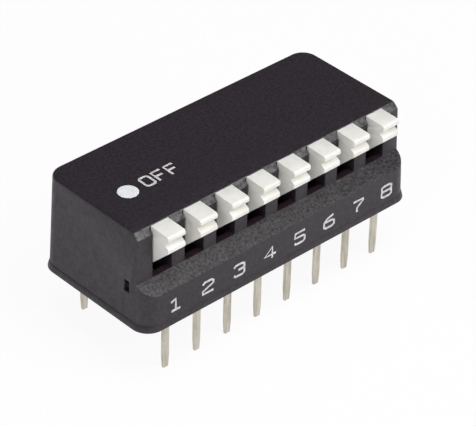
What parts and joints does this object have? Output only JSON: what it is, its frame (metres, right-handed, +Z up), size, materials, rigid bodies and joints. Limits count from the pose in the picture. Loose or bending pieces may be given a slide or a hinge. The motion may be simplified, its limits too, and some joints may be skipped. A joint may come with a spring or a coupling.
{
  "type": "dip switch",
  "caption": "Side-actuated DIP switch: black housing with a numbered ledge, white rockers along one side, and two rows of through-hole leads.",
  "frame": {"origin": "middle of the lead pattern, on the underside of the housing, where the part sits on its board", "axes": "+X along the row of rockers, rockers face -Y, +Z up out of the board"},
  "size_m": [0.0224, 0.01, 0.0106],
  "materials": {
    "housing": "moulded black, semi-matt",
    "base": "moulded black, matt",
    "seal": "cast sealing resin",
    "terminal": "tin plated, satin",
    "rocker": "moulded white nylon, satin",
    "ball": "gold plated",
    "spring": "spring wire",
    "print": "white ink"
  },
  "bodies": {
    "body": {"housing": "housing", "base": "base", "bottom_seal": "seal", "terminal_front_1": "terminal", "terminal_back_1": "terminal", "terminal_front_2": "terminal", "terminal_back_2": "terminal", "terminal_front_3": "terminal", "terminal_back_3": "terminal", "terminal_front_4": "terminal", "terminal_back_4": "terminal", "terminal_front_5": "terminal", "terminal_back_5": "terminal", "terminal_front_6": "terminal", "terminal_back_6": "terminal", "terminal_front_7": "terminal", "terminal_back_7": "terminal", "terminal_front_8": "terminal", "terminal_back_8": "terminal"},
    "rocker_1": {"rocker_1": "rocker", "contact_ball_1": "ball", "spring_1": "spring"},
    "rocker_2": {"rocker_2": "rocker", "contact_ball_2": "ball", "spring_2": "spring"},
    "rocker_3": {"rocker_3": "rocker", "contact_ball_3": "ball", "spring_3": "spring"},
    "rocker_4": {"rocker_4": "rocker", "contact_ball_4": "ball", "spring_4": "spring"},
    "rocker_5": {"rocker_5": "rocker", "contact_ball_5": "ball", "spring_5": "spring"},
    "rocker_6": {"rocker_6": "rocker", "contact_ball_6": "ball", "spring_6": "spring"},
    "rocker_7": {"rocker_7": "rocker", "contact_ball_7": "ball", "spring_7": "spring"},
    "rocker_8": {"rocker_8": "rocker", "contact_ball_8": "ball", "spring_8": "spring"}
  },
  "joints": [
    {"name": "rocker_1_tilt", "type": "hinge", "parent": "body", "child": "rocker_1", "pos_m": [-0.00889, -0.0004, 0.00424], "axis": [1, 0, 0], "range_deg": [0, 16]},
    {"name": "rocker_2_tilt", "type": "hinge", "parent": "body", "child": "rocker_2", "pos_m": [-0.00635, -0.0004, 0.00424], "axis": [1, 0, 0], "range_deg": [0, 16]},
    {"name": "rocker_3_tilt", "type": "hinge", "parent": "body", "child": "rocker_3", "pos_m": [-0.00381, -0.0004, 0.00424], "axis": [1, 0, 0], "range_deg": [0, 16]},
    {"name": "rocker_4_tilt", "type": "hinge", "parent": "body", "child": "rocker_4", "pos_m": [-0.00127, -0.0004, 0.00424], "axis": [1, 0, 0], "range_deg": [0, 16]},
    {"name": "rocker_5_tilt", "type": "hinge", "parent": "body", "child": "rocker_5", "pos_m": [0.00127, -0.0004, 0.00424], "axis": [1, 0, 0], "range_deg": [0, 16]},
    {"name": "rocker_6_tilt", "type": "hinge", "parent": "body", "child": "rocker_6", "pos_m": [0.00381, -0.0004, 0.00424], "axis": [1, 0, 0], "range_deg": [0, 16]},
    {"name": "rocker_7_tilt", "type": "hinge", "parent": "body", "child": "rocker_7", "pos_m": [0.00635, -0.0004, 0.00424], "axis": [1, 0, 0], "range_deg": [0, 16]},
    {"name": "rocker_8_tilt", "type": "hinge", "parent": "body", "child": "rocker_8", "pos_m": [0.00889, -0.0004, 0.00424], "axis": [1, 0, 0], "range_deg": [0, 16]}
  ]
}
